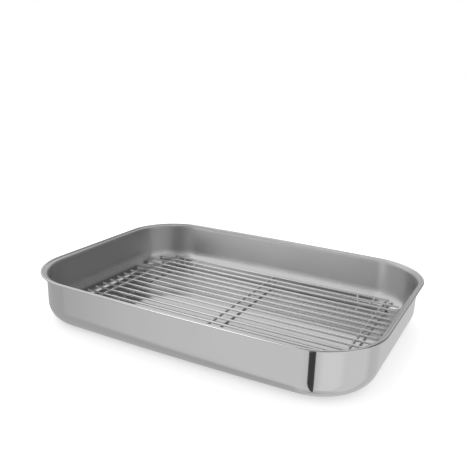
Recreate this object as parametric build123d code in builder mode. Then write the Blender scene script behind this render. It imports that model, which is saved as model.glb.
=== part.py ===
from build123d import *
from math import asin, cos, degrees, hypot, radians, sqrt, tan
import os

# Rectangular roasting pan with a rolled rim, and the wire rack that stands loose in it.
# The origin is on the table under the middle of the pan: X runs along the pan, Z is up.

# Pan: overall sizes, over the rolled rim
pan_length = 350.0
pan_width = 252.4
pan_height = 50.4
corner_radius = 60.2
side_swell = 1.65  # how far each long side bows out beyond its corners

# Pan: the sheet and the section of its wall
sheet = 0.8
wall_taper = 1.0  # degrees from upright
heel_radius = 19.5
lip_width = 5.7
lip_rise = 1.0
lip_bend = 2.2
bead_diameter = 2.4
floor_lap = 4.0  # flat strip of floor carried round with the wall

# Rack: its wires
long_wires = 18
wire_diameter = 2.3
cross_diameter = 2.8
wire_end_round = 0.6
cross_weld_depth = 0.15

# Rack: its place in the pan
rack_height = 10.5  # from the floor to the top of the long wires
rack_shift = -2.5  # it lies a little nearer to the left wall
end_gap = 13.5
side_gap = 8.0
corner_gap = 0.8
cross_inset = 4.1  # end cross wires, in from the ends of the outermost long wires
cross_overhang = 3.6

# Rack: its feet
foot_top_width = 19.2
foot_bottom_width = 11.0
foot_bend = 2.6
foot_inset = 21.1  # in from the end cross wires
foot_floor_gap = 0.3
foot_heel_gap = 0.3
foot_weld_depth = 0.04

os.makedirs("parts", exist_ok=True)

wire_radius = wire_diameter / 2
cross_radius = cross_diameter / 2
bead_radius = bead_diameter / 2
half_sheet = sheet / 2
rack_offset = abs(rack_shift)

# Plan of the rim: straight short sides, round corners and long sides that are wide arcs,
# all tangent. Lines further in have the same centres and smaller radii.
corner_x = pan_length / 2 - corner_radius
swell_radius = corner_radius + (corner_x**2 + side_swell**2) / (2 * side_swell)
swell_y = pan_width / 2 - swell_radius
corner_y = pan_width / 2 - corner_radius - side_swell
swell_angle = degrees(asin(corner_x / (swell_radius - corner_radius)))

# Heights and insets of the wall's mid-line, the insets measured in from the rim's edge
bead_height = pan_height - bead_radius
bend_height = bead_height - lip_rise
bend_inset = lip_width + half_sheet
heel_inset = bend_inset + (bend_height - half_sheet) * tan(radians(wall_taper))
heel_centre = (
    bend_inset
    + (bend_height - heel_radius) * tan(radians(wall_taper))
    + (heel_radius - half_sheet) / cos(radians(wall_taper))
)
inner_heel = heel_radius - sheet


def inner_inset(height):
    # inner face of the heel at a height, in from the rim's edge
    drop = max(heel_radius - height, 0)
    return heel_centre - sqrt(inner_heel**2 - drop**2)


def reach_along(across, inset):
    # half-length of the plan at a distance from its long axis
    past = max(across - corner_y, 0)
    return corner_x + sqrt((corner_radius - inset) ** 2 - past**2)


def reach_across(along, inset):
    # half-width of the plan at a distance from its short axis, without the swell
    past = max(along - corner_x, 0)
    return corner_y + sqrt((corner_radius - inset) ** 2 - past**2)


def wall_section(plane):
    # closed section of the wall: floor strip, heel, wall, lip and bead
    with BuildSketch(plane) as section:
        with BuildLine():
            FilletPolyline(
                (-heel_centre - floor_lap, half_sheet),
                (-heel_inset, half_sheet),
                (-bend_inset, bend_height),
                (-bead_radius, bead_height),
                radius=(heel_radius - half_sheet, lip_bend),
            )
        trace(line_width=sheet)
        with Locations((-bead_radius, bead_height)):
            Circle(bead_radius)
    return section.sketch


with BuildPart() as pan_shell:
    # one quarter, from the middle of a short side to the middle of a long one
    short_side = wall_section(
        Plane((pan_length / 2, corner_y, 0), x_dir=(1, 0, 0), z_dir=(0, -1, 0))
    )
    extrude(short_side, amount=corner_y)
    revolve(short_side, Axis((corner_x, corner_y, 0), (0, 0, 1)), 90 - swell_angle)
    long_side = wall_section(Plane((0, pan_width / 2, 0), x_dir=(0, 1, 0), z_dir=(1, 0, 0)))
    revolve(long_side, Axis((0, swell_y, 0), (0, 0, -1)), swell_angle)
    # the floor inside the strip, square to the quarter's two cut sides
    floor_end_x = pan_length / 2 - heel_centre
    with BuildSketch():
        with BuildLine():
            side = Line((0, 0), (floor_end_x, 0))
            Line(side @ 1, (floor_end_x, corner_y))
            CenterArc((corner_x, corner_y), corner_radius - heel_centre, 0, 90 - swell_angle)
            swell = CenterArc(
                (0, swell_y), swell_radius - heel_centre, 90 - swell_angle, swell_angle
            )
            Line(swell @ 1, (0, 0))
        make_face()
    extrude(amount=sheet)
    mirror(about=Plane.XZ)
    mirror(about=Plane.YZ)

pan_shell.part.label = "pan_shell"
export_step(pan_shell.part, "parts/pan_shell.step")

# Rack: heights of the wires, and the spread of the long ones across the pan
long_height = sheet + rack_height - wire_radius
cross_height = long_height - wire_radius - cross_radius + cross_weld_depth
long_wall_inset = inner_inset(long_height)
cross_wall_inset = inner_inset(cross_height)
outer_wire_y = pan_width / 2 - side_swell - long_wall_inset - side_gap - wire_radius
pitch = 2 * outer_wire_y / (long_wires - 1)
rack_half_length = pan_length / 2 - long_wall_inset - end_gap


def long_wire_half_length(across):
    # as long as the rack, or shorter where the pan's corner comes closer
    corner_reach = reach_along(abs(across) + wire_radius, long_wall_inset + corner_gap)
    return min(rack_half_length, corner_reach - rack_offset)


for index in range(long_wires):
    across = -outer_wire_y + index * pitch
    with BuildPart() as long_wire:
        with BuildSketch(Plane((rack_shift, across, long_height), z_dir=(1, 0, 0))):
            Circle(wire_radius)
        extrude(amount=long_wire_half_length(across), both=True)
        fillet(long_wire.edges().filter_by(GeomType.CIRCLE), wire_end_round)
    long_wire.part.label = f"long_wire_{index + 1:02d}"
    export_step(long_wire.part, f"parts/{long_wire.part.label}.step")

# Cross wires under the long ones: one in the middle and one near each end
cross_x = long_wire_half_length(outer_wire_y) - cross_inset
full_half_span = outer_wire_y + wire_radius + cross_overhang
for place, along in (("left", -cross_x), ("middle", 0), ("right", cross_x)):
    corner_reach = reach_across(
        abs(along) + rack_offset + cross_radius, cross_wall_inset + corner_gap
    )
    with BuildPart() as cross_wire:
        with BuildSketch(Plane((rack_shift + along, 0, cross_height), z_dir=(0, 1, 0))):
            Circle(cross_radius)
        extrude(amount=min(full_half_span, corner_reach), both=True)
        fillet(cross_wire.edges().filter_by(GeomType.CIRCLE), wire_end_round)
    cross_wire.part.label = f"cross_wire_{place}"
    export_step(cross_wire.part, f"parts/{cross_wire.part.label}.step")

# Feet: each is a wire bent to a flaring U that stands on the flat of the floor and leans out
# to the axis of the outermost long wire, where its two ends are cut flat and welded on
foot_x = cross_x - foot_inset
foot_bottom_height = sheet + foot_floor_gap + wire_radius
floor_edge_y = reach_across(foot_x + rack_offset + foot_bottom_width / 2, heel_centre)
foot_bottom_y = floor_edge_y - foot_heel_gap
foot_lean = outer_wire_y - foot_bottom_y
foot_rise = long_height - foot_bottom_height
foot_slope = hypot(foot_lean, foot_rise)
for end, along in (("left", -foot_x), ("right", foot_x)):
    for side, facing in (("front", -1), ("back", 1)):
        leaning = Plane(
            (rack_shift + along, facing * foot_bottom_y, foot_bottom_height),
            x_dir=(1, 0, 0),
            z_dir=(0, -foot_rise, facing * foot_lean),
        )
        seat = Plane(
            leaning.origin + leaning.y_dir * (foot_slope - wire_radius + foot_weld_depth),
            z_dir=leaning.y_dir,
        )
        with BuildPart() as foot:
            with BuildLine(leaning) as bent_wire:
                FilletPolyline(
                    (-foot_top_width / 2, foot_slope),
                    (-foot_bottom_width / 2, 0),
                    (foot_bottom_width / 2, 0),
                    (foot_top_width / 2, foot_slope),
                    radius=foot_bend,
                )
            with BuildSketch(Plane(bent_wire.line @ 0, z_dir=bent_wire.line % 0)):
                Circle(wire_radius)
            sweep()
            split(bisect_by=seat, keep=Keep.BOTTOM)
        foot.part.label = f"foot_{side}_{end}"
        export_step(foot.part, f"parts/{foot.part.label}.step")
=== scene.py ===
from math import asin, atan2, cos, degrees, hypot, pi, radians, sin, sqrt, tan

import bmesh
import bpy
from mathutils import Matrix, Vector


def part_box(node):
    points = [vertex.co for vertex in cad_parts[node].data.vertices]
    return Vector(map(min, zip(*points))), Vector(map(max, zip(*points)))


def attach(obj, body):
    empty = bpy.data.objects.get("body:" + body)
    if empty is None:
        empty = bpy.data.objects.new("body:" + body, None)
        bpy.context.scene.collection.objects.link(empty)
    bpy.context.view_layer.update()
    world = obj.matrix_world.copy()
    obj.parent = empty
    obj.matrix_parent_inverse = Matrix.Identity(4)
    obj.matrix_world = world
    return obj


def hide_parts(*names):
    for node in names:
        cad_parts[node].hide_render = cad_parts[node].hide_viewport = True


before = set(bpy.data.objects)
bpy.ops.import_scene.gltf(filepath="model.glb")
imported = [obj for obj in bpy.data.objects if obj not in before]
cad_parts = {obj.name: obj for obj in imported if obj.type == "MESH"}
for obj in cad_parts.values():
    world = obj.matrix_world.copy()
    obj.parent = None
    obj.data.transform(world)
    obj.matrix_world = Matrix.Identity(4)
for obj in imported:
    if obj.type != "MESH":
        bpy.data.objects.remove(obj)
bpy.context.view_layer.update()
scene = bpy.context.scene
scene.view_settings.view_transform = "Standard"
print("frame loaded:", len(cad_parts), "nodes")


# Small helpers for node trees

def nodeInput(tree, name, kind, value=None):
    socket = tree.interface.new_socket(name=name, in_out="INPUT", socket_type="NodeSocket" + kind)
    if value is not None:
        socket.default_value = value
    return socket


def nodeOutput(tree, name, kind):
    tree.interface.new_socket(name=name, in_out="OUTPUT", socket_type="NodeSocket" + kind)


def feed(tree, socket, value):
    # a value that is a socket is linked, anything else is set
    if isinstance(value, bpy.types.NodeSocket):
        tree.links.new(value, socket)
    else:
        socket.default_value = value


def addNode(tree, kind, inputs=None, **settings):
    node = tree.nodes.new(kind)
    for name, value in settings.items():
        setattr(node, name, value)
    for name, value in (inputs or {}).items():
        feed(tree, node.inputs[name], value)
    return node


def maths(tree, operation, first, second=0.0, third=0.0):
    kind = "ShaderNodeMath"
    return addNode(tree, kind, {0: first, 1: second, 2: third}, operation=operation).outputs[0]


def mapRange(tree, value, fromMin, fromMax, toMin, toMax):
    # a soft step from one value to the other
    inputs = {"Value": value, "From Min": fromMin, "From Max": fromMax}
    inputs.update({"To Min": toMin, "To Max": toMax})
    node = addNode(tree, "ShaderNodeMapRange", inputs, interpolation_type="SMOOTHSTEP")
    return node.outputs["Result"]


def combine(tree, x=0.0, y=0.0, z=0.0):
    return addNode(tree, "ShaderNodeCombineXYZ", {"X": x, "Y": y, "Z": z}).outputs[0]


def collectionObject(name, data):
    thing = bpy.data.objects.new(name, data)
    scene.collection.objects.link(thing)
    return thing


def lineCurve(name, points, cyclic=False):
    curve = bpy.data.curves.new(name, "CURVE")
    curve.dimensions = "3D"
    spline = curve.splines.new("POLY")
    spline.points.add(len(points) - 1)
    for point, spot in zip(spline.points, points):
        point.co = (*spot, 1.0)
    spline.use_cyclic_u = cyclic
    return collectionObject(name, curve)


def setTreeInputs(modifier, values):
    # sockets are found by name once and set by identifier
    for item in modifier.node_group.interface.items_tree:
        if item.item_type == "SOCKET" and item.in_out == "INPUT" and item.name in values:
            modifier[item.identifier] = values[item.name]


def bakeTree(name, tree, values, helpers=()):
    # evaluates a node tree once and keeps the result as a plain mesh object
    carrier = collectionObject(name + "Source", bpy.data.meshes.new(name + "Source"))
    modifier = carrier.modifiers.new(name, "NODES")
    modifier.node_group = tree
    setTreeInputs(modifier, values)
    bpy.context.view_layer.update()
    evaluated = carrier.evaluated_get(bpy.context.evaluated_depsgraph_get())
    mesh = bpy.data.meshes.new_from_object(evaluated)
    mesh.name = name
    bpy.data.objects.remove(carrier)
    for helper in helpers:
        bpy.data.objects.remove(helper)
    return mesh


# Camera: the photograph's view, from the front right and above

cameraSettings = {
    "place": (0.2624, -0.50367, 0.25397),
    "azimuth": 27.72,  # degrees, turned left of the line that looks along +Y
    "elevation": 16.17,  # degrees looking down
    "roll": 1.97,
    "focalLength": 45.941,  # millimetres, for the square picture
    "sensor": 36.0,
    "nearest": 0.01,
    "furthest": 50.0,
}


def makeCamera():
    data = bpy.data.cameras.new("photoCamera")
    data.lens = cameraSettings["focalLength"]
    data.sensor_width = cameraSettings["sensor"]
    data.clip_start = cameraSettings["nearest"]
    data.clip_end = cameraSettings["furthest"]
    camera = collectionObject("photoCamera", data)
    camera.matrix_world = (
        Matrix.Translation(cameraSettings["place"])
        @ Matrix.Rotation(radians(cameraSettings["azimuth"]), 4, "Z")
        @ Matrix.Rotation(radians(90 - cameraSettings["elevation"]), 4, "X")
        @ Matrix.Rotation(radians(cameraSettings["roll"]), 4, "Z")
    )
    scene.camera = camera


makeCamera()
print("camera placed")


# Shader groups that more than one material uses

grainPattern = {
    "detail": 4.0,
    "roughness": 0.6,
    "smooth": 0.3,  # noise level at which a line adds no roughness
    "coarse": 0.7,  # and at which it adds all of it
}


def makeGrainGroup():
    # fine brushed grain along one axis of the object, as height and as a roughness mask
    tree = bpy.data.node_groups.new("brushedGrain", "ShaderNodeTree")
    nodeInput(tree, "Lines", "Vector")
    nodeInput(tree, "Depth", "Float", 1.0)
    nodeOutput(tree, "Height", "Float")
    nodeOutput(tree, "Mask", "Float")
    inside = tree.nodes.new("NodeGroupInput")
    outside = tree.nodes.new("NodeGroupOutput")
    position = addNode(tree, "ShaderNodeTexCoord").outputs["Object"]
    stretched = addNode(
        tree, "ShaderNodeVectorMath", {0: position, 1: inside.outputs["Lines"]}, operation="MULTIPLY"
    ).outputs[0]
    noise = {"Vector": stretched, "Scale": 1.0}
    noise.update({"Detail": grainPattern["detail"], "Roughness": grainPattern["roughness"]})
    lines = addNode(tree, "ShaderNodeTexNoise", noise).outputs["Fac"]
    height = maths(tree, "MULTIPLY", lines, inside.outputs["Depth"])
    tree.links.new(height, outside.inputs["Height"])
    mask = mapRange(tree, lines, grainPattern["smooth"], grainPattern["coarse"], 0.0, 1.0)
    tree.links.new(mask, outside.inputs["Mask"])
    return tree


wearPattern = {
    "cloudScale": 22.0,
    "cloudDetail": 5.0,
    "cloudRoughness": 0.62,
    "cloudRange": (0.46, 0.72),
    "spotScale": 260.0,
    "spotRange": (0.1, 0.16),
    "spotStrength": 0.35,
    "hairs": ((0.5, 95.0), (1.9, 120.0), (2.7, 80.0)),  # direction and closeness of each set
    "hairTilt": (0.1, 0.2),
    "hairLength": 0.06,  # scale along a hair, as a share of the scale across it
    "hairBend": 0.3,
    "hairWidth": 0.006,
    "hairRoughness": 0.5,
    "patchScale": 60.0,
    "patchDetail": 2.0,
    "patchRange": (0.55, 0.7),
}


def hairLines(tree, position, turn, scale):
    # thin lines where a stretched noise crosses its middle
    pattern = wearPattern
    rotation = (*pattern["hairTilt"], turn)
    turned = addNode(tree, "ShaderNodeMapping", {"Vector": position, "Rotation": rotation})
    turned.inputs["Scale"].default_value = (scale * pattern["hairLength"], scale, scale)
    noise = {"Vector": turned.outputs[0], "Scale": 1.0, "Detail": 1.0}
    noise["Distortion"] = pattern["hairBend"]
    level = addNode(tree, "ShaderNodeTexNoise", noise).outputs["Fac"]
    fromMiddle = maths(tree, "ABSOLUTE", maths(tree, "SUBTRACT", level, 0.5))
    return mapRange(tree, fromMiddle, 0.0, pattern["hairWidth"], 1.0, 0.0)


def makeWearGroup():
    # handling marks: cloudy smudges, sparse hair scratches and faint drying spots
    pattern = wearPattern
    tree = bpy.data.node_groups.new("handlingWear", "ShaderNodeTree")
    nodeInput(tree, "Smudges", "Float", 1.0)
    nodeInput(tree, "Scratches", "Float", 1.0)
    nodeOutput(tree, "Mask", "Float")
    nodeOutput(tree, "Height", "Float")
    inside = tree.nodes.new("NodeGroupInput")
    outside = tree.nodes.new("NodeGroupOutput")
    position = addNode(tree, "ShaderNodeTexCoord").outputs["Object"]
    noise = {"Vector": position, "Scale": pattern["cloudScale"]}
    noise.update({"Detail": pattern["cloudDetail"], "Roughness": pattern["cloudRoughness"]})
    clouds = addNode(tree, "ShaderNodeTexNoise", noise).outputs["Fac"]
    clouds = mapRange(tree, clouds, *pattern["cloudRange"], 0.0, 1.0)
    smudges = maths(tree, "MULTIPLY", clouds, inside.outputs["Smudges"])
    cells = {"Vector": position, "Scale": pattern["spotScale"], "Randomness": 1.0}
    spots = addNode(tree, "ShaderNodeTexVoronoi", cells).outputs["Distance"]
    spots = mapRange(tree, spots, *pattern["spotRange"], pattern["spotStrength"], 0.0)
    rareSpots = maths(tree, "MULTIPLY", spots, smudges)
    marks = 0.0
    for turn, scale in pattern["hairs"]:
        marks = maths(tree, "ADD", marks, hairLines(tree, position, turn, scale))
    noise = {"Vector": position, "Scale": pattern["patchScale"], "Detail": pattern["patchDetail"]}
    patches = addNode(tree, "ShaderNodeTexNoise", noise).outputs["Fac"]
    patches = mapRange(tree, patches, *pattern["patchRange"], 0.0, 1.0)
    scratches = maths(tree, "MULTIPLY", marks, patches)
    scratches = maths(tree, "MULTIPLY", scratches, inside.outputs["Scratches"])
    mask = maths(tree, "ADD", smudges, rareSpots)
    mask = maths(tree, "ADD", mask, maths(tree, "MULTIPLY", scratches, pattern["hairRoughness"]))
    tree.links.new(maths(tree, "MINIMUM", mask, 1.0), outside.inputs["Mask"])
    tree.links.new(maths(tree, "MULTIPLY", scratches, -1.0), outside.inputs["Height"])
    return tree


def makeWaveGroup():
    # the slow waviness that pressing leaves in a thin sheet
    tree = bpy.data.node_groups.new("pressedWaviness", "ShaderNodeTree")
    nodeInput(tree, "Scale", "Float", 10.0)
    nodeOutput(tree, "Height", "Float")
    inside = tree.nodes.new("NodeGroupInput")
    outside = tree.nodes.new("NodeGroupOutput")
    position = addNode(tree, "ShaderNodeTexCoord").outputs["Object"]
    noise = {"Vector": position, "Scale": inside.outputs["Scale"], "Detail": 1.0}
    slow = addNode(tree, "ShaderNodeTexNoise", noise).outputs["Fac"]
    tree.links.new(slow, outside.inputs["Height"])
    return tree


grainGroup = makeGrainGroup()
wearGroup = makeWearGroup()
waveGroup = makeWaveGroup()

# what the three finishes share: heights above the table, in metres, and two constants
steelLevels = {
    "satinAndShadeFrom": 0.003,  # where the heel's satin starts, and the painted wall shade with it
    "satinAndShadeFull": 0.017,
    "rimFrom": 0.022,
    "rimFull": 0.048,
    "worn": 0.94,  # brightness of a fully worn patch
    "acrossGrain": 0.25,  # share of a turn, so that reflections stretch across the grain
}
polishedOutside = {
    "name": "polishedSteel",
    "colour": (0.645, 0.645, 0.648, 1.0),
    "roughness": 0.045,
    "paintedWallShade": (1.0, 1.0, 1.0, 1.0),
    "wallRoughness": 0.0,
    "rimRoughness": 0.0,
    "grainRoughness": 0.015,
    "wearRoughness": 0.02,
    "brushed": 0.0,
    "grainLines": (60.0, 60.0, 2600.0),  # round the pan
    "grainDepth": 0.000002,
    "waveScale": 9.0,
    "waveDepth": 0.00016,
    "scratchDepth": 0.000001,
    "smudges": 0.35,
    "scratches": 0.3,
}
satinInside = {
    "name": "satinSteel",
    "colour": (0.645, 0.645, 0.645, 1.0),
    "roughness": 0.06,
    "paintedWallShade": (0.84, 0.84, 0.84, 1.0),  # painted shade: the walls above the heel are darkened in their base colour, for the dimmer light they mirror
    "wallRoughness": 0.25,  # added above the heel, where the inside is satin
    "rimRoughness": 0.08,  # added again towards the rim
    "grainRoughness": 0.012,
    "wearRoughness": 0.03,
    "brushed": 0.9,
    "grainLines": (90.0, 2200.0, 2200.0),  # along the pan
    "grainDepth": 0.0000004,
    "waveScale": 9.0,
    "waveDepth": 0.00006,
    "scratchDepth": 0.0000003,
    "smudges": 0.2,
    "scratches": 0.12,
}
platedWire = {
    "name": "platedWire",
    "colour": (0.8, 0.8, 0.805, 1.0),
    "roughness": 0.06,
    "paintedWallShade": (1.0, 1.0, 1.0, 1.0),
    "wallRoughness": 0.0,
    "rimRoughness": 0.0,
    "grainRoughness": 0.02,
    "wearRoughness": 0.06,
    "brushed": 0.0,
    "grainLines": (160.0, 3400.0, 3400.0),  # drawn along the wire
    "grainDepth": 0.000003,
    "waveScale": 45.0,
    "waveDepth": 0.00002,
    "scratchDepth": 0.000004,
    "smudges": 0.6,
    "scratches": 0.6,
}


def makeSteel(finish):
    material = bpy.data.materials.new(finish["name"])
    material.use_nodes = True
    tree = material.node_tree
    shader = tree.nodes["Principled BSDF"]
    grain = addNode(tree, "ShaderNodeGroup", node_tree=grainGroup)
    grain.inputs["Lines"].default_value = finish["grainLines"]
    grain.inputs["Depth"].default_value = finish["grainDepth"]
    wear = addNode(tree, "ShaderNodeGroup", node_tree=wearGroup)
    wear.inputs["Smudges"].default_value = finish["smudges"]
    wear.inputs["Scratches"].default_value = finish["scratches"]
    wave = addNode(tree, "ShaderNodeGroup", node_tree=waveGroup)
    wave.inputs["Scale"].default_value = finish["waveScale"]
    height = maths(tree, "MULTIPLY", wave.outputs["Height"], finish["waveDepth"])
    height = maths(tree, "ADD", height, grain.outputs["Height"])
    height = maths(tree, "MULTIPLY_ADD", wear.outputs["Height"], finish["scratchDepth"], height)
    bump = addNode(tree, "ShaderNodeBump", {"Height": height, "Distance": 1.0})
    rough = maths(tree, "MULTIPLY", grain.outputs["Mask"], finish["grainRoughness"])
    rough = maths(tree, "ADD", rough, finish["roughness"])
    rough = maths(tree, "MULTIPLY_ADD", wear.outputs["Mask"], finish["wearRoughness"], rough)
    position = addNode(tree, "ShaderNodeTexCoord").outputs["Object"]
    level = addNode(tree, "ShaderNodeSeparateXYZ", {0: position}).outputs["Z"]
    onWall = mapRange(tree, level, steelLevels["satinAndShadeFrom"], steelLevels["satinAndShadeFull"], 0.0, 1.0)
    rough = maths(tree, "MULTIPLY_ADD", onWall, finish["wallRoughness"], rough)
    nearRim = mapRange(tree, level, steelLevels["rimFrom"], steelLevels["rimFull"], 0.0, 1.0)
    rough = maths(tree, "MULTIPLY_ADD", nearRim, finish["rimRoughness"], rough)
    wornColour = [channel * steelLevels["worn"] for channel in finish["colour"][:3]] + [1.0]
    dull = addNode(tree, "ShaderNodeMix", {"Factor": wear.outputs["Mask"]}, data_type="RGBA")
    dull.inputs["A"].default_value = finish["colour"]
    dull.inputs["B"].default_value = wornColour
    # painted shade: above the heel the base colour is multiplied by the finish's painted wall shade
    wallShaded = addNode(
        tree, "ShaderNodeMix", {"Factor": onWall}, data_type="RGBA", blend_type="MULTIPLY"
    )
    tree.links.new(dull.outputs["Result"], wallShaded.inputs["A"])
    wallShaded.inputs["B"].default_value = finish["paintedWallShade"]
    tree.links.new(wallShaded.outputs["Result"], shader.inputs["Base Color"])
    tree.links.new(rough, shader.inputs["Roughness"])
    tree.links.new(bump.outputs["Normal"], shader.inputs["Normal"])
    shader.inputs["Metallic"].default_value = 1.0
    shader.inputs["Anisotropic"].default_value = finish["brushed"]
    shader.inputs["Anisotropic Rotation"].default_value = steelLevels["acrossGrain"]
    return material


# Pan: one pressed sheet, its section swept round the rim

panLow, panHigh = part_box("pan_shell")
panSizes = {  # metres, where it says nothing else
    "length": panHigh[0] - panLow[0],
    "width": panHigh[1] - panLow[1],
    "height": panHigh[2],
    "cornerRadius": 0.0602,
    "sideSwell": 0.00165,
    "sheet": 0.0008,
    "wallTaper": 1.0,  # degrees from upright
    "heelRadius": 0.0195,
    "lipWidth": 0.0057,
    "lipRise": 0.001,
    "lipBend": 0.0022,
    "beadRadius": 0.0012,
    "beadFillet": 0.0007,  # hollow between the lip and the rolled bead
    "beadTurn": 220.0,  # degrees round the bead from the lip, over the top, to the seam
    "seamBack": (0.72, 0.44),  # where the rolled edge ends, in bead radii inwards and down
    "seamLip": 1.3,  # where it meets the lip, in bead radii inwards
    "floorStrip": 0.004,
    "cornerSteps": 30,
    "sideSteps": 18,
    "heelSteps": 30,
    "bendSteps": 9,
    "filletSteps": 6,
    "beadSteps": 30,
}


def rimPlan():
    # points of the rim's edge with their outward directions, anticlockwise from the right
    p = panSizes
    cornerX = p["length"] / 2 - p["cornerRadius"]
    cornerY = p["width"] / 2 - p["cornerRadius"] - p["sideSwell"]
    swellRadius = p["cornerRadius"] + (cornerX**2 + p["sideSwell"] ** 2) / (2 * p["sideSwell"])
    swellY = p["width"] / 2 - swellRadius
    swellAngle = asin(cornerX / (swellRadius - p["cornerRadius"]))
    quarter = []
    shortSteps = p["sideSteps"] // 2
    for step in range(shortSteps):
        quarter.append((p["length"] / 2, cornerY * step / shortSteps, 0.0))
    for step in range(p["cornerSteps"] + 1):
        turn = (pi / 2 - swellAngle) * step / p["cornerSteps"]
        x = cornerX + p["cornerRadius"] * cos(turn)
        quarter.append((x, cornerY + p["cornerRadius"] * sin(turn), turn))
    for step in range(1, p["sideSteps"] + 1):
        turn = pi / 2 - swellAngle * (1 - step / p["sideSteps"])
        quarter.append((swellRadius * cos(turn), swellY + swellRadius * sin(turn), turn))
    half = quarter + [(-x, y, pi - turn) for x, y, turn in reversed(quarter[:-1])]
    return half + [(x, -y, -turn) for x, y, turn in reversed(half[1:-1])]


def arcPoints(centre, radius, start, end, steps, hollow=False):
    # inset, height and normal angle along an arc, angles in degrees from the inward direction
    points = []
    for step in range(steps + 1):
        angle = radians(start + (end - start) * step / steps)
        inset, height = centre[0] + radius * cos(angle), centre[1] + radius * sin(angle)
        points.append((inset, height, angle + pi if hollow else angle))
    return points


def wallSection():
    # outline of the sheet, from the floor's upper side over the rim to its underside
    p = panSizes
    half = p["sheet"] / 2
    taper = radians(p["wallTaper"])
    beadHeight = p["height"] - p["beadRadius"]
    bendInset = p["lipWidth"] + half
    bendHeight = beadHeight - p["lipRise"]
    heelMid = p["heelRadius"] - half
    heelCentre = (
        bendInset + (bendHeight - p["heelRadius"]) * tan(taper) + heelMid / cos(taper),
        p["heelRadius"],
    )
    lipSlope = atan2(p["lipRise"], bendInset - p["beadRadius"])
    bendTurn = pi / 2 - taper - lipSlope
    tangent = p["lipBend"] * tan(bendTurn / 2)
    bendCentre = (
        bendInset + tangent * sin(taper) - p["lipBend"] * cos(taper),
        bendHeight - tangent * cos(taper) - p["lipBend"] * sin(taper),
    )
    onFloor, onWall, onLip = 270, 180 + p["wallTaper"], 90 - degrees(lipSlope)
    inner = [(heelCentre[0] + p["floorStrip"], p["sheet"], pi / 2)]
    inner += arcPoints(heelCentre, heelMid - half, onFloor, onWall, p["heelSteps"], hollow=True)
    inner += arcPoints(bendCentre, p["lipBend"] + half, p["wallTaper"], onLip, p["bendSteps"])
    # hollow fillet and bead, in the lip's own directions: along it outwards, and up from it
    fillet, bead = p["beadFillet"], p["beadRadius"]
    filletUp = half + fillet
    filletBack = sqrt((bead + fillet) ** 2 - filletUp**2)
    meet = atan2(filletUp, -filletBack)

    def fromLip(along, up, normal):
        inset = bead - along * cos(lipSlope) + up * sin(lipSlope)
        height = beadHeight + along * sin(lipSlope) + up * cos(lipSlope)
        return (inset, height, pi - normal - lipSlope)

    for step in range(p["filletSteps"] + 1):
        angle = -pi / 2 + (meet - pi / 2) * step / p["filletSteps"]
        along = -filletBack + fillet * cos(angle)
        inner.append(fromLip(along, filletUp + fillet * sin(angle), angle + pi))
    beadTurn = radians(p["beadTurn"]) + meet - pi
    outer = []
    for step in range(1, p["beadSteps"] + 1):
        angle = meet - beadTurn * step / p["beadSteps"]
        outer.append(fromLip(bead * cos(angle), bead * sin(angle), angle))
    # the seam where the rolled edge closes under the lip
    back, down = p["seamBack"]
    outer.append(fromLip(-back * bead, -down * bead, -pi / 2))
    outer.append(fromLip(-p["seamLip"] * bead, -half, -pi / 2))
    lower = arcPoints(
        bendCentre, p["lipBend"] - half, onLip, p["wallTaper"], p["bendSteps"], hollow=True
    )
    lower += arcPoints(heelCentre, p["heelRadius"], onWall, onFloor, p["heelSteps"])
    lower.append((heelCentre[0] + p["floorStrip"], 0.0, -pi / 2))
    return inner, outer + lower


def makeSweepTree():
    tree = bpy.data.node_groups.new("pressedPan", "GeometryNodeTree")
    nodeInput(tree, "Rim Path", "Object")
    nodeInput(tree, "Wall Section", "Object")
    nodeInput(tree, "Finish", "Material")
    nodeOutput(tree, "Geometry", "Geometry")
    inside = tree.nodes.new("NodeGroupInput")
    outside = tree.nodes.new("NodeGroupOutput")
    path = addNode(tree, "GeometryNodeObjectInfo", {"Object": inside.outputs["Rim Path"]})
    section = addNode(tree, "GeometryNodeObjectInfo", {"Object": inside.outputs["Wall Section"]})
    upright = addNode(
        tree, "GeometryNodeSetCurveNormal", {"Curve": path.outputs["Geometry"]}, mode="Z_UP"
    )
    swept = addNode(tree, "GeometryNodeCurveToMesh", {"Curve": upright.outputs[0]})
    tree.links.new(section.outputs["Geometry"], swept.inputs["Profile Curve"])
    smooth = addNode(tree, "GeometryNodeSetShadeSmooth", {"Geometry": swept.outputs[0]})
    real = addNode(tree, "GeometryNodeRealizeInstances", {"Geometry": smooth.outputs[0]})
    finished = addNode(
        tree,
        "GeometryNodeSetMaterial",
        {"Geometry": real.outputs[0], "Material": inside.outputs["Finish"]},
    )
    tree.links.new(finished.outputs[0], outside.inputs[0])
    return tree


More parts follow.
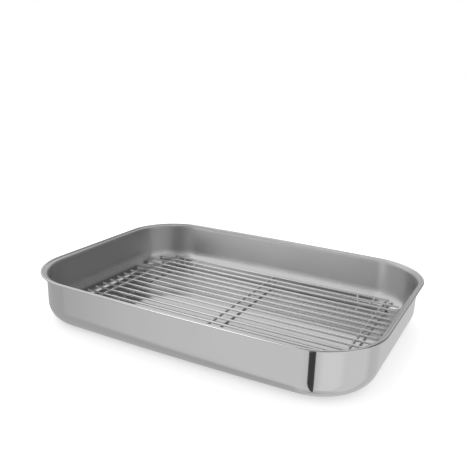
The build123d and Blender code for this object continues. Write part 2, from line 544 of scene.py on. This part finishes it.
def makePan():
    plan = rimPlan()
    inner, outer = wallSection()
    section = inner + outer
    path = lineCurve("rimPath", [(x, y, 0.0) for x, y, turn in plan], cyclic=True)
    profile = lineCurve("sheetSection", [(-inset, -height, 0.0) for inset, height, angle in section])
    outsideSteel = makeSteel(polishedOutside)
    insideSteel = makeSteel(satinInside)
    values = {"Rim Path": path, "Wall Section": profile, "Finish": outsideSteel}
    mesh = bakeTree("pan", makeSweepTree(), values, helpers=(path, profile))
    # exact places and normals, and which side each point is on
    normals = []
    for index, vertex in enumerate(mesh.vertices):
        x, y, turn = plan[index // len(section)]
        inset, height, angle = section[index % len(section)]
        outward = Vector((cos(turn), sin(turn), 0.0))
        vertex.co = Vector((x, y, height)) - outward * inset
        normals.append(Vector((0.0, 0.0, sin(angle))) - outward * cos(angle))
    work = bmesh.new()
    work.from_mesh(mesh)
    loose = [edge for edge in work.edges if edge.is_boundary]
    bmesh.ops.holes_fill(work, edges=loose, sides=0)
    bmesh.ops.recalc_face_normals(work, faces=work.faces)
    work.to_mesh(mesh)
    work.free()
    mesh.materials.clear()
    mesh.materials.append(outsideSteel)
    mesh.materials.append(insideSteel)
    for face in mesh.polygons:
        face.use_smooth = True
        sides = [corner % len(section) < len(inner) for corner in face.vertices]
        face.material_index = 1 if all(sides) else 0
    mesh.normals_split_custom_set_from_vertices(normals)
    pan = collectionObject("pan", mesh)
    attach(pan, "pan")
    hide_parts("pan_shell")
    print("pan made:", len(mesh.polygons), "faces")


makePan()


# Rack: straight wires on cross wires, with bent feet and spot welds

def rackSizes():
    # everything the rack's tree needs, read from the frame's own wires
    first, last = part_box("long_wire_01"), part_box("long_wire_18")
    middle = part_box("long_wire_09")
    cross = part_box("cross_wire_right")
    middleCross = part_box("cross_wire_middle")
    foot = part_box("foot_back_right")
    wireRadius = (middle[1][2] - middle[0][2]) / 2
    crossRadius = (cross[1][2] - cross[0][2]) / 2
    shift = (middle[0][0] + middle[1][0]) / 2
    return {
        "Long Wires": sum(node.startswith("long_wire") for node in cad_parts),
        "Wire Radius": wireRadius,
        "Long Height": middle[1][2] - wireRadius,
        "Long Half": (middle[1][0] - middle[0][0]) / 2,
        "Outer Half": (last[1][0] - last[0][0]) / 2,
        "Outer Y": (last[1][1] - first[0][1]) / 2 - wireRadius,
        "Shift": shift,
        "Cross Radius": crossRadius,
        "Cross Height": cross[1][2] - crossRadius,
        "Cross X": cross[1][0] - crossRadius - shift,
        "Cross Half": cross[1][1],
        "Middle Half": middleCross[1][1],
        "Foot X": (foot[0][0] + foot[1][0]) / 2 - shift,
        "Foot Y": foot[0][1] + wireRadius,
        "Foot Height": foot[0][2] + wireRadius,
    }


# names with a capital are inputs of the rack's tree
rackDetails = {
    "End Round": 0.0006,
    "Trim": 0.0003,  # most that a wire's end falls short, as cut wire does
    "Weld Size": 0.0014,
    "Foot Bend": 0.0026,
    "footTopWidth": 0.0192,
    "footBottomWidth": 0.011,
    "legShort": 0.55,  # the legs end inside the long wire, by this share of its radius
    "weldSpread": (0.85, 1.1),
    "weldFlatness": 0.45,
    "trimSeed": 7,
    "weldSeed": 3,
    "aroundWire": 20,
    "endSteps": 5,
    "bendSteps": 8,
    "weldDetail": 3,
}


def wireRing(tree, radius):
    inputs = {"Resolution": rackDetails["aroundWire"], "Radius": radius}
    return addNode(tree, "GeometryNodeCurvePrimitiveCircle", inputs).outputs[0]


def wireTree():
    # a round wire along X with softened ends: its half length and radius are inputs
    tree = bpy.data.node_groups.new("roundEndedWire", "GeometryNodeTree")
    nodeInput(tree, "Half Length", "Float", 0.1)
    nodeInput(tree, "Radius", "Float", 0.001)
    nodeInput(tree, "End Round", "Float", rackDetails["End Round"])
    nodeOutput(tree, "Geometry", "Geometry")
    inside = tree.nodes.new("NodeGroupInput")
    outside = tree.nodes.new("NodeGroupOutput")
    steps = rackDetails["endSteps"]
    count = 2 * steps + 2
    line = addNode(tree, "GeometryNodeMeshLine", {"Count": count})
    curve = addNode(tree, "GeometryNodeMeshToCurve", {"Mesh": line.outputs[0]})
    index = addNode(tree, "GeometryNodeInputIndex").outputs[0]
    fromEnd = maths(tree, "MINIMUM", index, maths(tree, "SUBTRACT", count - 1.0, index))
    angle = maths(tree, "MULTIPLY", fromEnd, pi / 2 / steps)
    roundness = inside.outputs["End Round"]
    drawnIn = maths(tree, "SUBTRACT", 1.0, maths(tree, "COSINE", angle))
    reach = maths(
        tree, "SUBTRACT", inside.outputs["Half Length"], maths(tree, "MULTIPLY", roundness, drawnIn)
    )
    isRight = maths(tree, "GREATER_THAN", index, steps + 0.5)
    side = maths(tree, "SUBTRACT", maths(tree, "MULTIPLY", isRight, 2.0), 1.0)
    spot = combine(tree, maths(tree, "MULTIPLY", side, reach))
    placed = addNode(
        tree, "GeometryNodeSetPosition", {"Geometry": curve.outputs[0], "Position": spot}
    )
    core = maths(tree, "SUBTRACT", inside.outputs["Radius"], roundness)
    radius = maths(tree, "MULTIPLY_ADD", roundness, maths(tree, "SINE", angle), core)
    inputs = {"Curve": placed.outputs[0], "Profile Curve": wireRing(tree, 1.0)}
    inputs.update({"Scale": radius, "Fill Caps": True})
    tube = addNode(tree, "GeometryNodeCurveToMesh", inputs)
    tree.links.new(tube.outputs[0], outside.inputs[0])
    return tree


def wireShape(tree, wire, size, half, radius):
    node = tree.nodes.new("GeometryNodeGroup")
    node.node_tree = wire
    for name, source in (("Half Length", half), ("Radius", radius), ("End Round", "End Round")):
        tree.links.new(size[source], node.inputs[name])
    return node.outputs[0]


def rowOfPoints(tree, count, start, step):
    inputs = {"Count": count, "Start Location": start, "Offset": step}
    return addNode(tree, "GeometryNodeMeshLine", inputs).outputs[0]


def pointsAcross(tree, size, x, height):
    # a point for each long wire, from the front one to the back one
    gaps = maths(tree, "SUBTRACT", size["Long Wires"], 1.0)
    pitch = maths(tree, "DIVIDE", maths(tree, "MULTIPLY", size["Outer Y"], 2.0), gaps)
    frontY = maths(tree, "MULTIPLY", size["Outer Y"], -1.0)
    start = combine(tree, x, frontY, height)
    return rowOfPoints(tree, size["Long Wires"], start, combine(tree, 0.0, pitch))


def pointPair(tree, size, reach, y, height):
    # two points, equally far to the left and right of the rack's middle
    left = maths(tree, "SUBTRACT", size["Shift"], size[reach])
    apart = combine(tree, maths(tree, "MULTIPLY", size[reach], 2.0))
    return rowOfPoints(tree, 2, combine(tree, left, y, size[height]), apart)


def instanceOn(tree, points, shape, rotation=(0.0, 0.0, 0.0), scale=(1.0, 1.0, 1.0)):
    inputs = {"Points": points, "Instance": shape, "Rotation": rotation, "Scale": scale}
    return addNode(tree, "GeometryNodeInstanceOnPoints", inputs).outputs[0]


def longWires(tree, size, wire):
    # the outermost pair is shorter, and each end is cut a little unevenly
    index = addNode(tree, "GeometryNodeInputIndex").outputs[0]
    last = maths(tree, "SUBTRACT", size["Long Wires"], 1.0)
    fromEdge = maths(tree, "MINIMUM", index, maths(tree, "SUBTRACT", last, index))
    isOuter = maths(tree, "LESS_THAN", fromEdge, 0.5)
    outerShare = maths(tree, "DIVIDE", size["Outer Half"], size["Long Half"])
    length = maths(tree, "MULTIPLY_ADD", isOuter, maths(tree, "SUBTRACT", outerShare, 1.0), 1.0)
    uneven = {"Seed": rackDetails["trimSeed"]}
    random = addNode(tree, "FunctionNodeRandomValue", uneven, data_type="FLOAT").outputs[1]
    trimShare = maths(tree, "DIVIDE", size["Trim"], size["Long Half"])
    length = maths(tree, "SUBTRACT", length, maths(tree, "MULTIPLY", random, trimShare))
    row = pointsAcross(tree, size, size["Shift"], size["Long Height"])
    shape = wireShape(tree, wire, size, "Long Half", "Wire Radius")
    return [instanceOn(tree, row, shape, scale=combine(tree, length, 1.0, 1.0))]


def crossWires(tree, size, wire):
    # turned across the pan, the middle one longer
    ends = pointPair(tree, size, "Cross X", 0.0, "Cross Height")
    centre = combine(tree, size["Shift"], 0.0, size["Cross Height"])
    middle = rowOfPoints(tree, 1, centre, (0.0, 0.0, 0.0))
    parts = []
    for points, half in ((ends, "Cross Half"), (middle, "Middle Half")):
        shape = wireShape(tree, wire, size, half, "Cross Radius")
        parts.append(instanceOn(tree, points, shape, rotation=(0.0, 0.0, pi / 2)))
    return parts


def rackFeet(tree, size):
    # a bent path with rounded corners, turned to face each side
    path = addNode(tree, "GeometryNodeObjectInfo", {"Object": size["Foot Path"]})
    bend = {"Curve": path.outputs["Geometry"], "Radius": size["Foot Bend"]}
    bend.update({"Limit Radius": True, "Count": rackDetails["bendSteps"]})
    bent = addNode(tree, "GeometryNodeFilletCurve", bend, mode="POLY")
    inputs = {"Curve": bent.outputs[0], "Profile Curve": wireRing(tree, size["Wire Radius"])}
    tube = addNode(tree, "GeometryNodeCurveToMesh", {**inputs, "Fill Caps": True}).outputs[0]
    parts = []
    for facing, turn in ((1.0, 0.0), (-1.0, pi)):
        footY = maths(tree, "MULTIPLY", size["Foot Y"], facing)
        points = pointPair(tree, size, "Foot X", footY, "Foot Height")
        parts.append(instanceOn(tree, points, tube, rotation=(0.0, 0.0, turn)))
    return parts


def spotWelds(tree, size):
    # a flat nugget at every crossing, a little uneven in size
    ball = {"Radius": size["Weld Size"], "Subdivisions": rackDetails["weldDetail"]}
    nugget = addNode(tree, "GeometryNodeMeshIcoSphere", ball).outputs[0]
    smallest, largest = rackDetails["weldSpread"]
    spread = {2: smallest, 3: largest, "Seed": rackDetails["weldSeed"]}
    grown = addNode(tree, "FunctionNodeRandomValue", spread, data_type="FLOAT").outputs[1]
    flat = maths(tree, "MULTIPLY", grown, rackDetails["weldFlatness"])
    height = maths(tree, "SUBTRACT", size["Long Height"], size["Wire Radius"])
    left = maths(tree, "SUBTRACT", size["Shift"], size["Cross X"])
    right = maths(tree, "ADD", size["Shift"], size["Cross X"])
    parts = []
    for x in (left, size["Shift"], right):
        points = pointsAcross(tree, size, x, height)
        parts.append(instanceOn(tree, points, nugget, scale=combine(tree, grown, grown, flat)))
    return parts


def makeRackTree(sizes):
    tree = bpy.data.node_groups.new("wireRack", "GeometryNodeTree")
    nodeInput(tree, "Foot Path", "Object")
    nodeInput(tree, "Finish", "Material")
    nodeInput(tree, "Long Wires", "Int", sizes["Long Wires"])
    lengths = [name for name in sizes if name != "Long Wires"]
    for name in lengths + ["End Round", "Trim", "Weld Size", "Foot Bend"]:
        nodeInput(tree, name, "Float", 0.0)
    nodeOutput(tree, "Geometry", "Geometry")
    inside = tree.nodes.new("NodeGroupInput")
    outside = tree.nodes.new("NodeGroupOutput")
    size = inside.outputs
    wire = wireTree()
    parts = longWires(tree, size, wire) + crossWires(tree, size, wire)
    parts += rackFeet(tree, size) + spotWelds(tree, size)
    joined = addNode(tree, "GeometryNodeJoinGeometry")
    for part in parts:
        tree.links.new(part, joined.inputs[0])
    real = addNode(tree, "GeometryNodeRealizeInstances", {"Geometry": joined.outputs[0]})
    smooth = addNode(tree, "GeometryNodeSetShadeSmooth", {"Geometry": real.outputs[0]})
    finished = addNode(
        tree, "GeometryNodeSetMaterial", {"Geometry": smooth.outputs[0], "Material": size["Finish"]}
    )
    tree.links.new(finished.outputs[0], outside.inputs[0])
    return tree


def makeRack():
    sizes = rackSizes()
    detail = rackDetails
    rise = sizes["Long Height"] - sizes["Foot Height"]
    lean = sizes["Outer Y"] - sizes["Foot Y"]
    reach = 1 - detail["legShort"] * sizes["Wire Radius"] / hypot(rise, lean)
    legEnd = (lean * reach, rise * reach)
    top, bottom = detail["footTopWidth"] / 2, detail["footBottomWidth"] / 2
    footPath = lineCurve(
        "footPath", [(-top, *legEnd), (-bottom, 0.0, 0.0), (bottom, 0.0, 0.0), (top, *legEnd)]
    )
    values = {**sizes, "Foot Path": footPath, "Finish": makeSteel(platedWire)}
    for name in ("End Round", "Trim", "Weld Size", "Foot Bend"):
        values[name] = detail[name]
    mesh = bakeTree("rack", makeRackTree(sizes), values, helpers=(footPath,))
    work = bmesh.new()
    work.from_mesh(mesh)
    bmesh.ops.recalc_face_normals(work, faces=work.faces)
    work.to_mesh(mesh)
    work.free()
    rack = collectionObject("rack", mesh)
    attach(rack, "rack")
    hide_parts(*[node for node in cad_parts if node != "pan_shell"])
    print("rack made:", len(mesh.polygons), "faces")


makeRack()


# Studio: pale floor, soft light from above and a plain surround that the metal mirrors

studio = {
    "floorReach": 12.0,
    "floorColour": (0.8, 0.8, 0.8, 1.0),
    "floorGlow": 0.37,
    "surround": 0.6,
    "mirrored": 1.12,  # brightness of the panels, as the metal mirrors them
    "dome": 1.12,  # even light that falls on the floor
    "panelEdge": 5.0,  # degrees over which a panel fades out upwards and downwards
}

# What the metal mirrors: soft panels around the pan, each laid over the ones before it.
# Azimuth is in degrees right of the line that looks from the pan along -Y, then half the
# panel's width, the blur of its sides, its lowest and highest elevation, and its tone.
surroundPanels = {
    "leftDark": (-98.0, 52.0, 9.0, -74.0, 0.0, 0.46),
    "frontLight": (-16.0, 22.0, 13.0, -72.0, 0.0, 0.7),
    "sideLight": (98.0, 24.0, 10.0, -68.0, 0.0, 0.73),
    "cornerLight": (49.0, 24.0, 12.0, -68.0, 0.0, 0.81),
    "cornerGap": (13.6, 6.0, 0.8, -110.0, -3.0, 0.06),
    "underside": (0.0, 181.0, 0.5, -110.0, -84.0, 0.42),
    "skyLeft": (-58.0, 54.0, 12.0, 3.0, 58.0, 0.85),
    "frontGlow": (-25.0, 7.0, 4.0, 4.0, 34.0, 0.95),
    "frontLow": (-27.0, 8.0, 4.0, -1.0, 8.0, 4.2),
    "frontHigh": (-6.0, 12.0, 5.0, 34.0, 58.0, 0.4),
    "leftHigh": (-88.0, 32.0, 10.0, 38.0, 62.0, 0.62),
    "skyGap": (22.0, 14.0, 9.0, 3.0, 26.0, 0.36),
    "skyRight": (75.0, 34.0, 9.0, 3.0, 25.0, 0.95),
    "skyRightHigh": (75.0, 62.0, 9.0, 25.0, 68.0, 0.45),
    "skyDark": (142.0, 42.0, 6.0, 3.0, 50.0, 0.22),
    "skyBlack": (152.0, 22.0, 8.0, 30.0, 46.0, 0.08),
    "back": (-150.0, 30.0, 8.0, 12.0, 66.0, 0.7),
    "backHigh": (-134.0, 30.0, 10.0, 38.0, 76.0, 1.2),
    "backLow": (-153.0, 22.0, 6.0, -12.0, 9.0, 0.38),
    "overheadLeft": (-85.0, 30.0, 10.0, 66.0, 120.0, 0.16),
    "overhead": (25.0, 85.0, 12.0, 58.0, 120.0, 0.12),
    "zenith": (0.0, 181.0, 0.5, 80.0, 120.0, 0.3),
}


def makeFloor():
    mesh = bpy.data.meshes.new("floor")
    reach = studio["floorReach"]
    corners = [(-reach, -reach, 0), (reach, -reach, 0), (reach, reach, 0), (-reach, reach, 0)]
    mesh.from_pydata(corners, [], [(0, 1, 2, 3)])
    floor = collectionObject("floor", mesh)
    material = bpy.data.materials.new("paleFloor")
    material.use_nodes = True
    tree = material.node_tree
    tree.nodes.remove(tree.nodes["Principled BSDF"])
    diffuse = addNode(tree, "ShaderNodeBsdfDiffuse", {"Color": studio["floorColour"]})
    glow = addNode(tree, "ShaderNodeEmission", {"Color": (1.0, 1.0, 1.0, 1.0)})
    seen = addNode(tree, "ShaderNodeLightPath").outputs["Is Camera Ray"]
    tree.links.new(maths(tree, "MULTIPLY", seen, studio["floorGlow"]), glow.inputs["Strength"])
    both = addNode(tree, "ShaderNodeAddShader", {0: diffuse.outputs[0], 1: glow.outputs[0]})
    tree.links.new(both.outputs[0], tree.nodes["Material Output"].inputs["Surface"])
    mesh.materials.append(material)
    floor.visible_glossy = False


def makeSurround():
    world = bpy.data.worlds.new("surround")
    scene.world = world
    world.use_nodes = True
    tree = world.node_tree
    direction = addNode(tree, "ShaderNodeTexCoord").outputs["Generated"]
    parts = addNode(tree, "ShaderNodeSeparateXYZ", {0: direction})
    x, y, z = parts.outputs
    azimuth = maths(tree, "DEGREES", maths(tree, "ARCTAN2", x, maths(tree, "MULTIPLY", y, -1.0)))
    elevation = maths(tree, "DEGREES", maths(tree, "ARCSINE", z))
    tone = studio["surround"]
    edge = studio["panelEdge"]
    for centre, reach, blur, low, high, panelTone in surroundPanels.values():
        away = maths(tree, "PINGPONG", maths(tree, "SUBTRACT", azimuth, centre), 180.0)
        mask = mapRange(tree, away, reach - blur, reach + blur, 1.0, 0.0)
        risen = mapRange(tree, elevation, low - edge, low + edge, 0.0, 1.0)
        under = mapRange(tree, elevation, high - edge, high + edge, 1.0, 0.0)
        mask = maths(tree, "MULTIPLY", maths(tree, "MULTIPLY", mask, risen), under)
        tone = maths(tree, "MULTIPLY_ADD", mask, maths(tree, "SUBTRACT", panelTone, tone), tone)
    # the floor is lit by an even dome, and the camera sees white behind the pan
    rays = addNode(tree, "ShaderNodeLightPath").outputs
    tone = maths(tree, "MULTIPLY", tone, studio["mirrored"])
    even = maths(tree, "MULTIPLY", rays["Is Diffuse Ray"], studio["dome"])
    white = maths(tree, "MAXIMUM", maths(tree, "MAXIMUM", tone, even), rays["Is Camera Ray"])
    tree.links.new(white, tree.nodes["Background"].inputs["Color"])


overheadLamp = {
    "place": (-1.0, 0.1, 2.0),  # it points at the origin
    "side": 2.4,
    "power": 7.0,
}


def makeLamp():
    data = bpy.data.lights.new("overheadLamp", "AREA")
    data.shape = "SQUARE"
    data.size = overheadLamp["side"]
    data.energy = overheadLamp["power"]
    lamp = collectionObject("overheadLamp", data)
    spot = Vector(overheadLamp["place"])
    turn = (-spot).to_track_quat("-Z", "Y").to_matrix().to_4x4()
    lamp.matrix_world = Matrix.Translation(spot) @ turn
    lamp.visible_glossy = False


makeFloor()
makeSurround()
makeLamp()
print("studio made")
